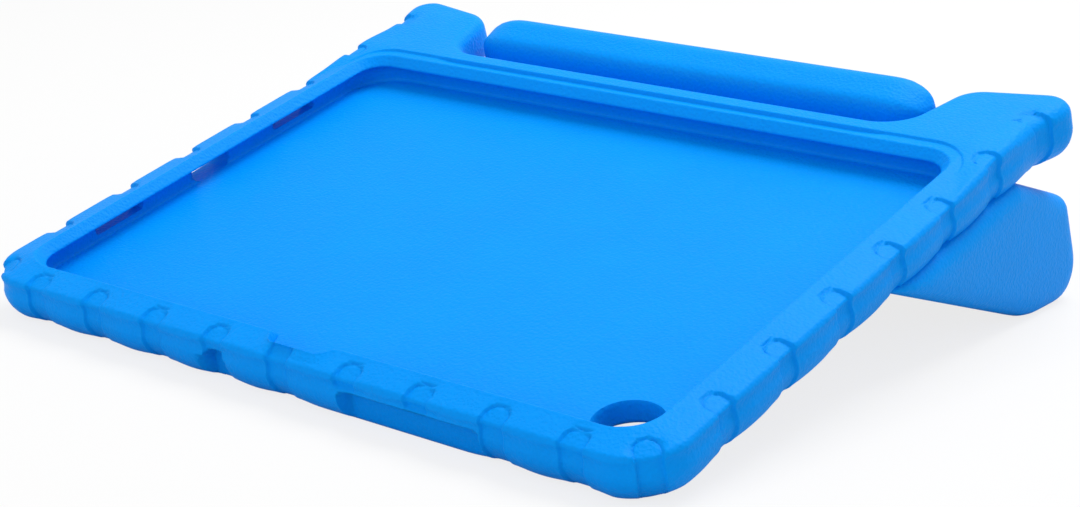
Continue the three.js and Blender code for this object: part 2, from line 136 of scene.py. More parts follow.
# Hollows in the front wall: a long recess under a ridge, and a narrow arch
LONG_HOLLOW = (24.0, 75.0)
LONG_HOLLOW_TOP = -3.5
LONG_HOLLOW_DEPTH = 4.5
LONG_HOLLOW_ROUNDING = 4.0
RIDGE_LEVEL = -2.5
RIDGE_MARGIN = 0.5
RIDGE_FADE = 0.9
ARCH_CENTRE = -26.6
ARCH_WIDTH = 10.5
ARCH_HEIGHT = 13.0
ARCH_DEPTH = 5.9
HOLLOW_SOFT = 0.6
HOLLOWS_BEFORE = -84

# Openings: the lens hole's place and its profile of radius and level, then each slot through the left wall
# with its width, height, place along y and level, and the slots' flare as pairs of x and growth
LENS_PLACE = (105.3, -70.75)
LENS_PROFILE = (
    (14.5, -18.0),
    (14.2, -16.9),
    (12.6, -15.6),
    (10.9, -14.4),
    (10.0, -13.0),
    (10.0, -8.4),
    (10.6, -7.3),
    (10.9, -6.2),
)
WALL_SLOTS = (
    ("socket_cutter", 18.0, 6.4, 0.0, -3.9),
    ("rear_sound_cutter", 22.0, 3.0, 44.0, -3.5),
    ("front_sound_cutter", 22.0, 3.0, -44.0, -3.5),
)
SLOT_FLARE = ((-137.0, 0.7), (-133.7, 0.7), (-133.1, 0.35), (-132.4, 0.1), (-131.6, 0.0), (-122.7, 0.0))

# Handle: the bar, the stand and the hand hole
HANDLE_HALF = 135.0
HANDLE_END = 6.0
BAR_HALF = 94.3
BAR_END = 16.0
BAR_NOSE = 9.0
BAR_FRONT = 111.95
BAR_THICKNESS = 18.4
BAR_TOP = 3.5
BAR_SLOPE = math.radians(17)
BAR_BASE = CASE_BOTTOM - 25.1
BAR_REAR_RADIUS = 6.0
BAR_FRONT_RADIUS = 5.0
REAR_LEAN = math.radians(10.8)
UNDERSIDE = math.radians(32.2)
SHOULDER = math.radians(31.4)
SHOULDER_FROM = NOTCH_FLOOR + 10.1
SHOULDER_RADIUS = 4.0
HEEL_LEVEL = CASE_BOTTOM - 50.2
HEEL_WIDTH = 24.3
HEEL_LEAD = 7.7
HEEL_FRONT_RADIUS = 40.0
HEEL_REAR_RADIUS = 12.3
BURIED_LEVEL = CASE_BOTTOM + 4.55
BURIED_RADIUS = 0.5
HOLE_HALF = 77.3
HOLE_HEIGHT = 22.0
HOLE_DROP = 9.5
HOLE_MOUTH = 5.0
SKIN_CELL = 0.0013

AZURE = (0.0, 0.268, 0.83, 1.0)


def turned(points):
    """Points or directions of the lying case, turned about x by the tilt."""
    x, y, z = points[..., 0], points[..., 1], points[..., 2]
    cos, sin = math.cos(TILT), math.sin(TILT)
    return np.stack([x, y * cos - z * sin, y * sin + z * cos], axis=-1)


def placed(points):
    """Row-frame metres of points given in millimetres in the lying case: turned about x by the tilt,
    then moved back and up."""
    return (turned(points) + SHIFT) / 1000


def ease(t):
    """Smooth step from 0 to 1 while t goes from 0 to 1."""
    t = np.clip(t, 0, 1)
    return t * t * (3 - 2 * t)


def soft_max(a, b, width):
    """The larger of two values, rounded over where they are within `width` of each other."""
    return (a + b + np.sqrt((a - b) ** 2 + width**2)) / 2


def on_foot(y):
    """0 along the frame and 1 on the feet, with a smooth change between."""
    return ease((y - FOOT_FROM) / FOOT_FADE)


# ---- Outline of the bumper


def touching(normal_a, distance_a, normal_b, distance_b, radius):
    """Centre of the arc that touches two lines. Each line is given by the angle of its outward normal and
    its distance from the middle. The centre lies `radius` inside both."""
    a, b = distance_a - radius, distance_b - radius
    spread = math.sin(normal_b - normal_a)
    x = (a * math.sin(normal_b) - b * math.sin(normal_a)) / spread
    y = (b * math.cos(normal_a) - a * math.cos(normal_b)) / spread
    return x, y


def outline_arcs():
    """Rows of centre x, centre y, radius, first and last normal angle for the outline's ten arcs, from the
    right front corner round. The left half mirrors the right one."""
    side, end, wall, back = -FLARE_ANGLE, math.pi / 2 + END_TURN, math.pi / 2 + NOTCH_WALL, math.pi / 2
    foot_end = NOTCH_FLOOR + FOOT_REACH
    corner = (HALF_LENGTH + FOOT_FLARE - FOOT_CORNER, foot_end - FOOT_CORNER)

    def reach(x, y, normal):
        """How far out a point lies along an outward normal."""
        return x * math.cos(normal) + y * math.sin(normal)

    side_line = reach(*corner, side) + FOOT_CORNER
    end_line = reach(*corner, end) + FOOT_CORNER
    wall_line = reach(HALF_LENGTH - FOOT_WIDTH, (NOTCH_FLOOR + foot_end) / 2, wall)
    right = [
        (HALF_LENGTH - FRONT_CORNER, FRONT_CORNER - FRONT_REACH, FRONT_CORNER, -back, 0),
        (*touching(0, HALF_LENGTH, side, side_line, -FLARE_RADIUS), -FLARE_RADIUS, 0, side),
        (*corner, FOOT_CORNER, side, end),
        (*touching(end, end_line, wall, wall_line, INNER_CORNER), INNER_CORNER, end, wall),
        (*touching(wall, wall_line, back, NOTCH_FLOOR, -NOTCH_FILLET), -NOTCH_FILLET, wall, back),
    ]
    left = [(-x, y, r, math.pi - last, math.pi - first) for x, y, r, first, last in reversed(right)]
    return np.array(right + left)


ARCS = outline_arcs()


def arc_point(arc, angle, inset):
    """Point of an arc at a normal angle after the outline has moved inwards. An outer arc's radius falls
    with the inset down to the least radius, and then its centre moves inwards along its middle."""
    x, y, radius, first, last = ARCS[arc].T
    reach = np.where(radius > 0, np.maximum(radius - inset, LEAST_RADIUS), radius - inset)
    shift = (inset + reach - radius) / np.cos((last - first) / 2)
    middle = (first + last) / 2
    return np.stack(
        [
            x - shift * np.cos(middle) + reach * np.cos(angle),
            y - shift * np.sin(middle) + reach * np.sin(angle),
        ],
        axis=-1,
    )


def outline_at(arc, share, on_line, inset):
    """Outline points at an inset. A station is either at a share of an arc's turn, or at a share of the
    straight line from that arc to the next one."""
    following = (arc + 1) % len(ARCS)
    first, last = ARCS[arc][:, 3], ARCS[arc][:, 4]
    on_arc = arc_point(arc, first + (last - first) * np.where(on_line, 0, share), inset)
    start = arc_point(arc, last, inset)
    end = arc_point(following, ARCS[following][:, 3], inset)
    along = start + (end - start) * share[:, None]
    return np.where(on_line[:, None], along, on_arc)


def band_places():
    """Each grip band's place on the outline and its direction inwards: nine along the front, seven on each
    side and one round each front corner."""
    rows = [((i - FRONT_BANDS // 2) * FRONT_BAND_STEP, -FRONT_REACH, 0.0, 1.0) for i in range(FRONT_BANDS)]
    diagonal = math.sqrt(0.5)
    bow = FRONT_CORNER * diagonal
    for side in (1, -1):
        for i in range(SIDE_BANDS):
            rows.append((side * HALF_LENGTH, SIDE_BAND_START + i * SIDE_BAND_STEP - FRONT_REACH, -side, 0.0))
        x, y = HALF_LENGTH - FRONT_CORNER + bow, FRONT_CORNER - FRONT_REACH - bow
        rows.append((side * x, y, -side * diagonal, diagonal))
    return np.array(rows)


BANDS = band_places()


def stations():
    """Stations round the outline, set closer at the edges of the bands. The spacing is summed along a fine
    trace of the outline and cut into equal steps."""
    fine, near_wall = 400, 7
    arc, share, on_line = [], [], []
    for i in range(len(ARCS)):
        for line in (False, True):
            arc.append(np.full(fine, i))
            share.append(np.arange(fine) / fine)
            on_line.append(np.full(fine, line))
    arc, share, on_line = np.concatenate(arc), np.concatenate(share), np.concatenate(on_line)
    trace = outline_at(arc, share, on_line, np.zeros(len(arc)))
    step = np.linalg.norm(np.roll(trace, -1, axis=0) - trace, axis=1)
    across = trace[:, None, :] - BANDS[None, :, :2]
    beside = np.abs(across[..., 0] * -BANDS[:, 3] + across[..., 1] * BANDS[:, 2])
    depth = np.abs((across * BANDS[None, :, 2:]).sum(-1))
    edge = ((np.abs(beside - BAND_HALF) < FINE_ZONE) & (depth < near_wall)).any(axis=1)
    density = np.where(edge, 1 / FINE_STEP, 1 / WIDE_STEP)
    total = np.concatenate([[0], np.cumsum(step * density)])
    count = int(round(total[-1]))
    at = np.interp(np.arange(count) * total[-1] / count, total, np.arange(len(trace) + 1))
    index = np.minimum(at.astype(int), len(trace) - 1)
    return arc[index], np.minimum(share[index] + (at - index) / fine, 1), on_line[index]


STATIONS = stations()
COUNT = len(STATIONS[0])
OUTLINE = outline_at(*STATIONS, np.zeros(COUNT))


def ring(inset):
    """Outline points at one inset, or at an inset for each station."""
    return outline_at(*STATIONS, np.broadcast_to(np.asarray(inset, float), (COUNT,)))


def from_outline(points):
    """Distance of plan points from the outline, measured to its nearest straight piece, a batch of points
    at a time."""
    batch = 1000
    a = OUTLINE
    b = np.roll(OUTLINE, -1, axis=0) - a
    nearest = np.empty(len(points))
    for start in range(0, len(points), batch):
        p = points[start : start + batch, None, :] - a
        t = np.clip((p * b).sum(-1) / (b * b).sum(-1), 0, 1)
        nearest[start : start + batch] = np.sqrt(((p - t[..., None] * b) ** 2).sum(-1).min(axis=1))
    return nearest


def rail_level(inset):
    """Height of the rail's top: level from the lip, then falling outwards at a constant slope."""
    return LIP_TOP - TOP_FALL * np.maximum(TOP_INSET - inset, 0)


def top_level(points, inset):
    """Height of the top: the rail, or the raised deck behind the window where that is higher. The deck
    falls slightly outwards and ends forwards in a ramp."""
    deck = DECK_TOP - DECK_FALL * np.maximum(TOP_INSET - inset, 0)
    ramp = DECK_TOP + (points[..., 1] - DECK_FROM) * RAMP
    return soft_max(rail_level(inset), -soft_max(-deck, -ramp, RAMP_SOFT), DECK_SOFT)


# ---- Window and pocket


def window_frame(points):
    """For each plan point, the nearest point of the window's inner rectangle and the direction outwards
    from it, so that skeleton + r * direction is a rounded rectangle with corner radius r."""
    skeleton = np.clip(points, [-WINDOW_SKELETON[0], -WINDOW_SKELETON[1]], WINDOW_SKELETON)
    out = points - skeleton
    return skeleton, out / np.linalg.norm(out, axis=1, keepdims=True)


def window_depth(grid):
    """How far plan points lie inside the lip's outer edge, negative outside it."""
    skeleton = np.clip(grid[..., :2], [-WINDOW_SKELETON[0], -WINDOW_SKELETON[1]], WINDOW_SKELETON)
    return LIP_REACH - np.linalg.norm(grid[..., :2] - skeleton, axis=-1)


def camera_notch(points):
    """The lip steps back in a short notch near the middle of its front side. Points in the notch move
    towards the front: by the full amount at the lip's outer edge and by less outwards, down to nothing near
    the outline. The bevel inside that edge is squeezed together, so that it is steep there."""
    centre, half, flare = 3.5, 9.5, 4.0
    outer, lip, moved_lip, last = -96.2, -88.05, -93.05, -80
    squeeze = 0.13
    share = 1 - ease((np.abs(points[:, 0] - centre) - half) / flare)
    y = points[:, 1]
    before = outer + (y - outer) * (moved_lip - outer) / (lip - outer)
    beyond = moved_lip + (y - lip) * squeeze
    target = np.where(y < lip, before, beyond)
    front = (y > outer) & (y < last)
    shifted = np.where(front, y + (target - y) * share, y)
    return np.stack([points[:, 0], shifted], axis=1)


# ---- Rows of the bumper's skin. Each row is one closed ring of the same stations.


def row(points, level):
    """One row: plan points at one level, or at a level for each station."""
    return np.column_stack([points, np.broadcast_to(np.asarray(level, float), (COUNT,))])


def underside_rows(skeleton, out):
    """From the middle of the underside outwards, then round its edge on a quarter circle."""
    base = skeleton + 4 * out
    under = ring(LOWER_RADIUS)
    rows = [row(base * share, CASE_BOTTOM) for share in (0.03, 0.25, 0.5, 0.75, 1.0)]
    rows += [row(base + (under - base) * share, CASE_BOTTOM) for share in (0.35, 0.7, 0.93)]
    for angle in np.radians(np.linspace(0, 90, 12)):
        inset = LOWER_RADIUS * (1 - math.sin(angle))
        rows.append(row(ring(inset), WIDEST - LOWER_RADIUS * math.cos(angle)))
    return rows


def wall_rows():
    """Up the drafted wall, then round the edge to the top on an arc that touches both and is larger on the
    feet. The wall's line is inset = (z - WIDEST) * draft, and the top's is
    z = edge_top + slope * (inset - EDGE_INSET). The inset that the arc ends at comes third."""
    edge_top = top_level(ring(EDGE_INSET), EDGE_INSET)
    slope = (top_level(ring(TRUE_INSET), TRUE_INSET) - edge_top) / (TRUE_INSET - EDGE_INSET)
    draft = math.tan(WALL_DRAFT)
    corner_level = (edge_top - slope * (EDGE_INSET + draft * WIDEST)) / (1 - slope * draft)
    corner_inset = (corner_level - WIDEST) * draft
    radius = EDGE_RADIUS + (FOOT_EDGE_RADIUS - EDGE_RADIUS) * on_foot(OUTLINE[:, 1])
    turn = math.pi / 2 - WALL_DRAFT - np.arctan(slope)
    tangent = radius * np.tan(turn / 2)
    wall_top = corner_level - tangent * math.cos(WALL_DRAFT)
    centre_inset = corner_inset - tangent * math.sin(WALL_DRAFT) + radius * math.cos(WALL_DRAFT)
    centre_level = wall_top - radius * math.sin(WALL_DRAFT)
    wall, edge = [], []
    for share in np.linspace(0, 1, 11)[1:-1]:
        level = WIDEST + (wall_top - WIDEST) * share
        wall.append(row(ring((level - WIDEST) * draft), level))
    for share in np.linspace(0, 1, 8):
        angle = WALL_DRAFT + turn * share
        edge.append(row(ring(centre_inset - radius * np.cos(angle)), centre_level + radius * np.sin(angle)))
    return wall, edge, centre_inset - radius * np.cos(WALL_DRAFT + turn)


def top_rows(first_inset, skeleton, out):
    """Over the top: true insets first, then straight across to the strip's outer edge, down the step onto
    the sunk strip and across it. The step and the strip are given by their distance from that edge and
    the share of the fall."""
    rows = []
    for share in (0.2, 0.4, 0.6, 0.8, 1.0):
        inset = first_inset + (TRUE_INSET - first_inset) * share
        points = ring(inset)
        rows.append(row(points, top_level(points, inset)))
    start, stop = ring(TRUE_INSET), skeleton + (STRIP_REACH + 0.5) * out
    for share in ((np.arange(14) + 1) / 14) ** 1.8:
        points = start + (stop - start) * share
        rows.append(row(points, top_level(points, from_outline(points))))
    step = [(0.2, 0.12), (0.0, 0.5), (-0.2, 0.88)]
    strip = [(offset, 1) for offset in (-0.45, -0.75, -1.05, -1.35, -1.65, -2.3, -2.9)]
    for offset, fall in step + strip:
        points = skeleton + (STRIP_REACH + offset) * out
        inset = from_outline(points)
        high, low = top_level(points, inset), rail_level(inset)
        rows.append(row(points, high + (low - high) * fall))
    return rows


def lip_rows(skeleton, out):
    """Over the lip's soft outer edge, down its bevel, and down its thin edge at the window. The bevel goes
    straight from the soft edge's last row to just short of the window, a little above the thin edge."""
    level = rail_level(from_outline(skeleton + LIP_REACH * out))
    soft_edge = ((0.55, 0.0), (0.25, 0.06), (0.0, 0.2), (-0.2, 0.4))
    rows = [row(skeleton + (LIP_REACH + offset) * out, level - drop) for offset, drop in soft_edge]
    first, last_drop = soft_edge[-1]
    shortened, rise = 0.3, 0.15
    for share in (0.3, 0.6, 0.9):
        run = -first + (LIP_BEVEL - shortened) * share
        height = (level - last_drop) * (1 - share) + (LIP_EDGE + rise) * share
        rows.append(row(skeleton + (LIP_REACH - run) * out, height))
    for offset, height in ((0.02, LIP_EDGE), (0.02, 0.12), (0.15, 0.0)):
        rows.append(row(skeleton + (WINDOW_RADIUS + offset) * out, height))
    return rows


def pocket_rows(skeleton, out, under_lip):
    """Outwards under the lip, down the pocket's wall, round a fillet and across the floor to the middle."""
    shrink = [(half - POCKET_RADIUS) / reach for half, reach in zip(POCKET_HALF, WINDOW_SKELETON)]
    wall = skeleton * shrink + POCKET_RADIUS * out
    rows = [row(under_lip + (wall - under_lip) * 0.5, 0.0), row(wall - POCKET_CHAMFER * out, 0.0)]
    rows += [row(wall, level) for level in (-POCKET_CHAMFER, -1.7, -3.3, -5.2)]
    for angle in np.radians((0, 30, 60, 90)):
        points = wall - POCKET_FILLET * (1 - math.cos(angle)) * out
        rows.append(row(points, POCKET_FLOOR + POCKET_FILLET * (1 - math.sin(angle))))
    rows += [row(points * share, POCKET_FLOOR) for share in (0.85, 0.6, 0.35, 0.15, 0.03)]
    return rows


def bumper_rows():
    """All rows of the bumper's skin, from the middle of the underside round the wall and the top to the
    middle of the pocket floor, with the number of the first row above the wall and of the first row of
    the lip."""
    skeleton, out = window_frame(ring(TRUE_INSET))
    wall, edge, inset = wall_rows()
    below = underside_rows(skeleton, out) + wall
    outside = below + edge + top_rows(inset, skeleton, out)
    lip = lip_rows(skeleton, out)
    pocket = pocket_rows(skeleton, out, lip[-1][:, :2])
    return np.array(outside + lip + pocket), len(below), len(outside)


# ---- Bands and hollows worked into the skin


def surface_normals(grid):
    """Unit normals of a grid of rings: the cross product of the steps along and across the rings."""
    along = np.roll(grid, -1, axis=1) - np.roll(grid, 1, axis=1)
    across = np.gradient(grid, axis=0)
    normal = np.cross(along, across)
    return normal / np.maximum(np.linalg.norm(normal, axis=-1, keepdims=True), 1e-9)


def band_groove(points):
    """Depth of the grip bands. In plan a band is a strip with a half-round inner end and narrow shoulders.
    It is deepest on the wall and grows shallower inwards over the top, where a fine line is pressed in
    round its edge. The foam beside it sinks slightly, over several millimetres on the wall and barely on
    the top, as on a quilted pad. The bands over the long hollow stop at the ridge above it."""
    level = points[..., 2]
    groove = np.zeros(level.shape)
    sink = np.zeros(level.shape)
    on_top = ease((level - BAND_TOP_LEVEL) / BAND_TOP_FADE)
    above_ridge = ease((level - RIDGE_LEVEL + RIDGE_MARGIN) / RIDGE_FADE)
    run = PAD_RUN + (PAD_TOP_RUN - PAD_RUN) * on_top
    fall = PAD_SINK + (PAD_TOP_SINK - PAD_SINK) * on_top
    for x, y, dx, dy in BANDS:
        rel_x, rel_y = points[..., 0] - x, points[..., 1] - y
        inward = rel_x * dx + rel_y * dy
        beside = np.abs(rel_y * dx - rel_x * dy)
        beyond = np.maximum(inward - (BAND_REACH - BAND_HALF), 0)
        away = np.hypot(beside, beyond) - BAND_HALF
        over_hollow = dy == 1.0 and LONG_HOLLOW[0] < x < LONG_HOLLOW[1]
        shown = (inward > -BAND_REACH) * (above_ridge if over_hollow else 1.0)
        share = np.clip((inward - BAND_FALL_FROM) / (BAND_REACH - BAND_FALL_FROM), 0, 1)
        deep = BAND_DEPTH + (BAND_END_DEPTH - BAND_DEPTH) * share
        groove = np.maximum(groove, deep * shown * (1 - ease((away + BAND_SOFT) / (2 * BAND_SOFT))))
        line = np.exp(-(((away + BAND_LINE_INSET) / BAND_LINE_WIDTH) ** 2)) * on_top
        groove = np.maximum(groove, shown * line * (BAND_LINE + deep / 2))
        sink = np.maximum(sink, shown * np.exp(-((np.maximum(away, 0) / run) ** 2)))
    return np.maximum(groove, fall * sink)


def wall_waist(points):
    """Depth of the waist: a shallow hollow that runs along the wall just under its top edge and fades out
    towards the feet's ends."""
    across = np.exp(-(((points[..., 2] - WAIST_LEVEL) / WAIST_RUN) ** 2))
    return WAIST_DEPTH * across * (1 - on_foot(points[..., 1]))


def front_hollows(grid):
    """Pushes the front wall back where it is hollow: a long recess with rounded upper corners, and a
    narrow arch. Each is a mask in x and z with a soft rim, and moves y to the hollow's own back."""
    x, y, z = grid[..., 0], grid[..., 1], grid[..., 2]
    front = y < HOLLOWS_BEFORE

    def rounded_top(left, right, top, rounding):
        """Distance outside a shape with upright sides and rounded upper corners, negative inside it."""
        inner_x = np.maximum(np.maximum(left + rounding - x, x - right + rounding), 0)
        inner_z = np.maximum(z - (top - rounding), 0)
        return np.hypot(inner_x, inner_z) - rounding

    half = ARCH_WIDTH / 2
    long_edge = rounded_top(*LONG_HOLLOW, LONG_HOLLOW_TOP, LONG_HOLLOW_ROUNDING)
    arch_edge = rounded_top(ARCH_CENTRE - half, ARCH_CENTRE + half, CASE_BOTTOM + ARCH_HEIGHT, half)
    for edge, back in ((long_edge, LONG_HOLLOW_DEPTH), (arch_edge, ARCH_DEPTH)):
        target = np.maximum(y, -FRONT_REACH + back)
        y = np.where(front, y + (target - y) * (1 - ease(edge + HOLLOW_SOFT)), y)
    return np.stack([x, y, z], axis=-1)


def bumper_grid():
    """The skin's rows with the camera notch, bands, waist and front hollows worked into them. The bands
    fade out over the last millimetre before the lip."""
    lowest_top, fade = -0.3, 1.0
    grid, top_from, lip_from = bumper_rows()
    for upper in grid[top_from:]:
        if upper[:, 2].min() > lowest_top:
            upper[:, :2] = camera_notch(upper[:, :2])
    rows = np.arange(len(grid))[:, None]
    depth = band_groove(grid) * (1 - ease(window_depth(grid) + fade))
    depth = depth + wall_waist(grid) * (rows < top_from + WAIST_ROWS)
    grid = grid - surface_normals(grid) * (depth * (rows < lip_from))[..., None]
    return front_hollows(grid)


# ---- Meshes


def added(name, data):
    """A new object in the scene, at the origin."""
    piece = bpy.data.objects.new(name, data)
    bpy.context.scene.collection.objects.link(piece)
    return piece


def ring_mesh(name, grid):
    """A closed mesh from a grid of rings. Neighbouring rings are joined by quads, and the first and the
    last ring are closed by one face each."""
    rows, count = grid.shape[:2]
    index = np.arange(rows * count).reshape(rows, count)
    following = np.roll(index, -1, axis=1)
    quads = np.stack([index[:-1], following[:-1], following[1:], index[1:]], axis=-1).reshape(-1, 4)
    loops = np.concatenate([quads.ravel(), index[0, ::-1], index[-1]])
    starts = np.concatenate([np.arange(len(quads)) * 4, [len(quads) * 4, len(quads) * 4 + count]])
    sizes = np.concatenate([np.full(len(quads), 4), [count, count]])
    mesh = bpy.data.meshes.new(name)
    mesh.vertices.add(rows * count)
    mesh.vertices.foreach_set("co", placed(grid).astype(np.float32).ravel())
    mesh.loops.add(len(loops))
    mesh.loops.foreach_set("vertex_index", loops.astype(np.int32))
    mesh.polygons.add(len(starts))
    mesh.polygons.foreach_set("loop_start", starts.astype(np.int32))
    mesh.polygons.foreach_set("loop_total", sizes.astype(np.int32))
    mesh.update(calc_edges=True)
    mesh.validate()
    return added(name, mesh)


def settle(piece):
    """Works the piece's modifiers into its mesh."""
    graph = bpy.context.evaluated_depsgraph_get()
    mesh = bpy.data.meshes.new_from_object(piece.evaluated_get(graph))
    piece.modifiers.clear()
    piece.data = mesh


def combine(piece, operation, tools):
    """Adds or cuts helper bodies with Boolean modifiers and removes the helpers."""
    for tool in tools:
        step = piece.modifiers.new(operation, "BOOLEAN")
        step.operation = operation
        step.solver = "MANIFOLD"
        step.object = tool
        settle(piece)
        bpy.data.objects.remove(tool)


def rounded_slot(half_width, half_height, grow):
    """A slot with fully round ends, grown outwards, as offsets across and upwards."""
    radius = half_height + grow
    straight = half_width - half_height
    angle = np.radians(np.linspace(-90, 90, 12))
    right = np.column_stack([straight + radius * np.cos(angle), radius * np.sin(angle)])
    return np.concatenate([right, -right])


def upright_cutter(name, centre, profile):
    """A turned cutter about an upright axis in the lying case: a profile of radius and level."""
    steps = 64
    angle = np.linspace(0, 2 * math.pi, steps, endpoint=False)
    rings = [
        np.column_stack([centre[0] + r * np.cos(angle), centre[1] + r * np.sin(angle), np.full(steps, z)])
        for r, z in profile
    ]
    return ring_mesh(name, np.array(rings))


def side_cutter(name, width, height, y, level):
    """A slot cutter through the left end wall, along x, slightly flared at its outer mouth."""
    rings = []
    for x, grow in SLOT_FLARE:
        slot = rounded_slot(width / 2, height / 2, grow)
        rings.append(np.column_stack([np.full(len(slot), x), y + slot[:, 0], level + slot[:, 1]]))
    return ring_mesh(name, np.array(rings))


def make_bumper():
    """The bumper's skin, cut through by the lens hole and the left wall's slots."""
    piece = ring_mesh("bumper", bumper_grid())
    cutters = [upright_cutter("lens_cutter", LENS_PLACE, LENS_PROFILE)]
    cutters += [side_cutter(*slot) for slot in WALL_SLOTS]
    combine(piece, "DIFFERENCE", cutters)
    return piece


# ---- Handle


def meet(a, angle_a, b, angle_b):
    """Where a line through point a in one direction meets a line through point b in another."""
    ax, ay, bx, by = math.cos(angle_a), math.sin(angle_a), math.cos(angle_b), math.sin(angle_b)
    t = ((b[0] - a[0]) * by - (b[1] - a[1]) * bx) / (ax * by - ay * bx)
    return a[0] + t * ax, a[1] + t * ay


def rear_at(level):
    """Place of the leaning rear face at a level."""
    return BAR_FRONT + BAR_THICKNESS + (BAR_TOP - level) * math.tan(REAR_LEAN)


# The heel's front end, where the underside's line starts, and the rear face's line
HEEL = (rear_at(HEEL_LEVEL) - HEEL_WIDTH, HEEL_LEVEL)
UNDERSIDE_FROM = HEEL[0] - HEEL_LEAD - (CASE_BOTTOM - HEEL_LEVEL) / math.tan(UNDERSIDE)
REAR_LINE = ((rear_at(CASE_BOTTOM), CASE_BOTTOM), math.pi / 2 + REAR_LEAN)


def underside_at(level):
    """Place of the sloping underside at a level."""
    return UNDERSIDE_FROM + (CASE_BOTTOM - level) / math.tan(UNDERSIDE)


def wedge_corners():
    """Side profile of the stand: underside, heel, rear face and shoulder, with a radius at each corner."""
    underside = ((UNDERSIDE_FROM, CASE_BOTTOM), -UNDERSIDE)
    shoulder = ((SHOULDER_FROM, CASE_BOTTOM), math.pi - SHOULDER)
    heel = (HEEL, -TILT)
    buried = ((0.0, BURIED_LEVEL), 0)
    return [
        (meet(*underside, *buried), BURIED_RADIUS),
        (meet(*underside, *heel), HEEL_FRONT_RADIUS),
        (meet(*REAR_LINE, *heel), HEEL_REAR_RADIUS),
        (meet(*REAR_LINE, *shoulder), SHOULDER_RADIUS),
        (meet(*shoulder, *buried), BURIED_RADIUS),
    ]


def bar_corners():
    """Side profile of the bar, from inside the stand up to its sloping top."""
    front, base = (BAR_FRONT, BAR_TOP), ((0.0, BAR_BASE), 0)
    return [
        (meet(front, math.pi / 2, *base), BURIED_RADIUS),
        (meet(*REAR_LINE, *base), BURIED_RADIUS),
        (meet(*REAR_LINE, front, BAR_SLOPE), BAR_REAR_RADIUS),
        (front, BAR_FRONT_RADIUS),
    ]


def rounded_loop(corners, inset):
    """The corners' loop moved inwards by an inset, with each corner rounded by what is left of its radius,
    seven points to a corner."""
    points = np.array([corner[0] for corner in corners])
    ahead = np.roll(points, -1, axis=0) - points
    angle = np.arctan2(ahead[:, 1], ahead[:, 0])
    loop = []
    for i, (point, radius) in enumerate(corners):
        angle_in, angle_out = angle[i - 1], angle[i]
        before = (point[0] - inset * math.sin(angle_in), point[1] + inset * math.cos(angle_in))
        after = (point[0] - inset * math.sin(angle_out), point[1] + inset * math.cos(angle_out))
        x, y = meet(before, angle_in, after, angle_out)
        turn = math.remainder(angle_out - angle_in, 2 * math.pi)
        left = max(radius - inset, LEAST_RADIUS)
        back = left * math.tan(turn / 2)
        start = (x - back * math.cos(angle_in), y - back * math.sin(angle_in))
        centre = (start[0] - left * math.sin(angle_in), start[1] + left * math.cos(angle_in))
        swing = angle_in - math.pi / 2 + turn * np.linspace(0, 1, 7)
        loop.append(np.column_stack([centre[0] + left * np.cos(swing), centre[1] + left * np.sin(swing)]))
    return np.concatenate(loop)


def round_ended(name, corners, half, length, radius):
    """A side profile swept along x. Over the last `length` at each end it shrinks by `radius` along a
    quarter ellipse."""
    angle = np.radians(np.linspace(0, 90, 12))
    x = half - length + length * np.sin(angle)
    inset = radius * (1 - np.cos(angle))
    x = np.concatenate([-x[::-1], x])
    inset = np.concatenate([inset[::-1], inset])
    rings = []
    for place, shrink in zip(x, inset):
        loop = rounded_loop(corners, shrink)
        rings.append(np.column_stack([np.full(len(loop), place), loop]))
    return ring_mesh(name, np.array(rings))


def hand_hole():
    """Cutter for the hand hole: a slot swept from the stand's underside to its rear face. Both mouths flare
    outwards on a quarter circle, and the ends run past the surface. A mouth is given by how far the slot
    has grown and how deep inside the surface that is."""
    middle = CASE_BOTTOM - HOLE_DROP - HOLE_HEIGHT / 2
    outermost = (HOLE_MOUTH + 1.5, -3.0)
    mouth = [outermost]
    for angle in np.radians(np.linspace(0, 90, 7)):
        mouth.append((HOLE_MOUTH * (1 - math.sin(angle)), HOLE_MOUTH * (1 - math.cos(angle))))
    rings = []
    for steps, face_at, inwards in ((mouth, underside_at, 1), (mouth[::-1], rear_at, -1)):
        for grow, depth in steps:
            slot = rounded_slot(HOLE_HALF, HOLE_HEIGHT / 2, grow)
            level = middle + slot[:, 1]
            rings.append(np.column_stack([slot[:, 0], face_at(level) + inwards * depth, level]))
    return ring_mesh("hole_cutter", np.array(rings)[::-1])


def make_handle():
    """Stand and bar in one with the hand hole cut through, given a fine even skin and softened, so that
    they flow into each other."""
    piece = round_ended("handle", wedge_corners(), HANDLE_HALF, HANDLE_END, HANDLE_END)
    bar = round_ended("bar", bar_corners(), BAR_HALF, BAR_END, BAR_NOSE)
    combine(piece, "UNION", [bar])
    combine(piece, "DIFFERENCE", [hand_hole()])
    skin = piece.modifiers.new("skin", "REMESH")
    skin.mode = "VOXEL"
    skin.voxel_size = SKIN_CELL
    settle(piece)
    soften = piece.modifiers.new("soften", "SMOOTH")
    soften.factor = 0.5
    soften.iterations = 8
    settle(piece)
    return piece


# ---- Foam finish


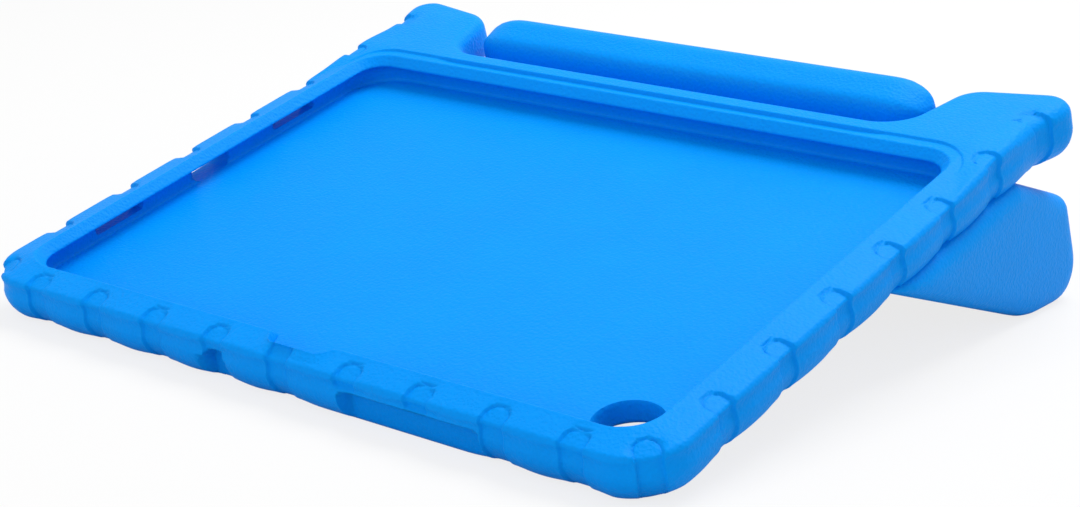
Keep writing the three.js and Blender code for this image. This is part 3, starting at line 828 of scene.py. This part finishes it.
class Reading:
    """One value in a material. Its sums, differences and products become Math nodes."""

    def __init__(self, tree, socket):
        self.tree = tree
        self.socket = socket

    @classmethod
    def node(cls, tree, kind, sockets=None, settings=None, output=0):
        """Any other node: its settings are set first, then the values or links of its sockets, each given
        by name or number. The reading is of one of its outputs, if it has any."""
        made = tree.nodes.new(kind)
        for key, item in (settings or {}).items():
            setattr(made, key, item)
        for key, item in (sockets or {}).items():
            if isinstance(item, cls):
                tree.links.new(item.socket, made.inputs[key])
            else:
                made.inputs[key].default_value = item
        return cls(tree, made.outputs[output] if len(made.outputs) else None)

    def maths(self, operation, first, second):
        """A Math node on two values, each a reading or a number."""
        return self.node(self.tree, "ShaderNodeMath", {0: first, 1: second}, {"operation": operation})

    def __add__(self, other):
        return self.maths("ADD", self, other)

    __radd__ = __add__

    def __mul__(self, other):
        return self.maths("MULTIPLY", self, other)

    __rmul__ = __mul__

    def __sub__(self, other):
        return self.maths("SUBTRACT", self, other)

    def __rsub__(self, other):
        return self.maths("SUBTRACT", other, self)


def blank_finish(name):
    """An empty material and its tree of nodes."""
    material = bpy.data.materials.new(name)
    material.use_nodes = True
    material.node_tree.nodes.clear()
    return material, material.node_tree


def foam_finish():
    """Closed-cell foam in azure: a fine crinkled skin like soft leather, faint cloudiness in the colour,
    and a soft gloss that breaks up over the grain."""
    material, tree = blank_finish("azure_foam")
    place = Reading.node(tree, "ShaderNodeTexCoord", output="Object")

    def noise(scale, detail, roughness, output=0):
        """Noise in the foam, with features about 1 / scale of a metre wide."""
        sockets = {"Vector": place, "Scale": scale, "Detail": detail, "Roughness": roughness}
        return Reading.node(tree, "ShaderNodeTexNoise", sockets, output=output)

    # Cells of the grain, with their places bent by noise so that they don't look regular
    bend = {0: noise(420.0, 2.0, 0.5, "Color"), 1: (0.0011, 0.0011, 0.0011), 2: place}
    bent = Reading.node(tree, "ShaderNodeVectorMath", bend, {"operation": "MULTIPLY_ADD"})
    cells = Reading.node(
        tree,
        "ShaderNodeTexVoronoi",
        {"Vector": bent, "Scale": 900.0, "Smoothness": 0.45},
        {"feature": "SMOOTH_F1"},
        output="Distance",
    )
    fine = noise(2600.0, 3.0, 0.6)
    broad = noise(38.0, 3.0, 0.55)
    shade = 0.93 + broad * 0.12 + (cells - 0.4) * 0.05
    grey = Reading.node(tree, "ShaderNodeCombineXYZ", {"X": shade, "Y": shade, "Z": shade})

    # The Mix node's colours are its inputs 6 and 7 and its output 2
    colour = Reading.node(
        tree,
        "ShaderNodeMix",
        {0: 1.0, 6: AZURE, 7: grey},
        {"data_type": "RGBA", "blend_type": "MULTIPLY"},
        output=2,
    )
    relief = {"Strength": 0.55, "Distance": 0.0004, "Height": cells * 0.75 + fine * 0.3}
    look = {
        "Base Color": colour,
        "Roughness": 0.42 + (fine - 0.5) * 0.16 + (broad - 0.5) * 0.1,
        "Normal": Reading.node(tree, "ShaderNodeBump", relief),
        "Specular IOR Level": 0.04,
    }
    shader = Reading.node(tree, "ShaderNodeBsdfPrincipled", look)
    Reading.node(tree, "ShaderNodeOutputMaterial", {"Surface": shader})
    return material


def rest_on_floor(piece):
    """Raises points that would sink into the floor to it, so that the soft foam lies flat there."""
    mesh = piece.data
    points = np.empty(3 * len(mesh.vertices), dtype=np.float32)
    mesh.vertices.foreach_get("co", points)
    points[2::3] = np.maximum(points[2::3], 0)
    mesh.vertices.foreach_set("co", points)
    mesh.update()


def finish(piece, material):
    """Smooth shading, the foam finish, and the piece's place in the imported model."""
    rest_on_floor(piece)
    piece.data.shade_smooth()
    even = piece.modifiers.new("even_faces", "WEIGHTED_NORMAL")
    even.mode = "FACE_AREA_WITH_ANGLE"
    even.weight = 80
    piece.data.materials.clear()
    piece.data.materials.append(material)
    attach(piece, "root")
    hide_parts("tablet_case")


# ---- Floor, light and camera


def pale_floor():
    """A flat pale finish that keeps the case's shadow. Seen directly it is mixed with plain white."""
    material, tree = blank_finish("pale_floor")
    seen = Reading.node(tree, "ShaderNodeLightPath", output="Is Camera Ray")
    matte = Reading.node(tree, "ShaderNodeBsdfDiffuse", {"Color": (0.72, 0.72, 0.72, 1.0)})
    white = Reading.node(tree, "ShaderNodeEmission", {"Color": (1.0, 1.0, 1.0, 1.0), "Strength": 1.0})
    blend = Reading.node(tree, "ShaderNodeMixShader", {0: seen * 0.8, 1: matte, 2: white})
    Reading.node(tree, "ShaderNodeOutputMaterial", {"Surface": blend})
    return material


def lay_floor():
    """A large square floor at the level that the case rests on."""
    mesh = bpy.data.meshes.new("floor")
    reach = 12.0
    corners = [(-reach, -reach, 0), (reach, -reach, 0), (reach, reach, 0), (-reach, reach, 0)]
    mesh.from_pydata(corners, [], [(0, 1, 2, 3)])
    mesh.materials.append(pale_floor())
    added("floor", mesh)


def stand_at(right, up, back, place):
    """Matrix of an object with its three axes along the given directions, at a place."""
    return Matrix([[right[i], up[i], back[i], place[i]] for i in range(3)] + [[0, 0, 0, 1]])


def hang_lamp(name, place, aim, size, power):
    """A square soft lamp at a place, facing an aim point."""
    light = bpy.data.lights.new(name, "AREA")
    light.shape = "SQUARE"
    light.size = size
    light.energy = power
    away = np.subtract(place, aim)
    away = away / np.linalg.norm(away)
    side = np.cross((0, 0, 1), away)
    side = side / np.linalg.norm(side)
    added(name, light).matrix_world = stand_at(side, np.cross(away, side), away, place)


def light_room(strength):
    """Even white light from all round."""
    world = bpy.data.worlds.new("room")
    world.use_nodes = True
    background = world.node_tree.nodes["Background"]
    background.inputs["Color"].default_value = (1, 1, 1, 1)
    background.inputs["Strength"].default_value = strength
    bpy.context.scene.world = world


def set_camera():
    """The photograph's camera, given in the lying case's frame: its place, its right, down and forward
    directions, its focal length in pixels, and the column of the 1080 that its middle of view falls on."""
    right = turned(np.array([0.774766, 0.61517, -0.145955]))
    down = turned(np.array([0.183237, -0.439419, -0.879395]))
    forward = turned(np.array([-0.605113, 0.654581, -0.453169]))
    place = placed(np.array([424.502, -463.116, 306.565]))
    width, middle, focal, sensor = 1080, 480, 2200.43, 36
    data = bpy.data.cameras.new("view")
    data.sensor_width = sensor
    data.lens = focal * sensor / width
    data.shift_x = (width / 2 - middle) / width
    data.clip_start, data.clip_end = 0.01, 100
    camera = added("view", data)
    camera.matrix_world = stand_at(right, -down, -forward, place)
    bpy.context.scene.camera = camera


foam = foam_finish()
for piece in (make_bumper(), make_handle()):
    finish(piece, foam)

lay_floor()
hang_lamp("top_lamp", place=(0.12, 0.45, 0.95), aim=(0.05, 0, 0.03), size=0.7, power=9.2)
hang_lamp("front_lamp", place=(-0.2, -1.8, 0.9), aim=(0, 0, 0.03), size=1.4, power=8.0)
light_room(0.7)
set_camera()
bpy.context.scene.view_settings.view_transform = "Standard"

bpy.context.view_layer.update()
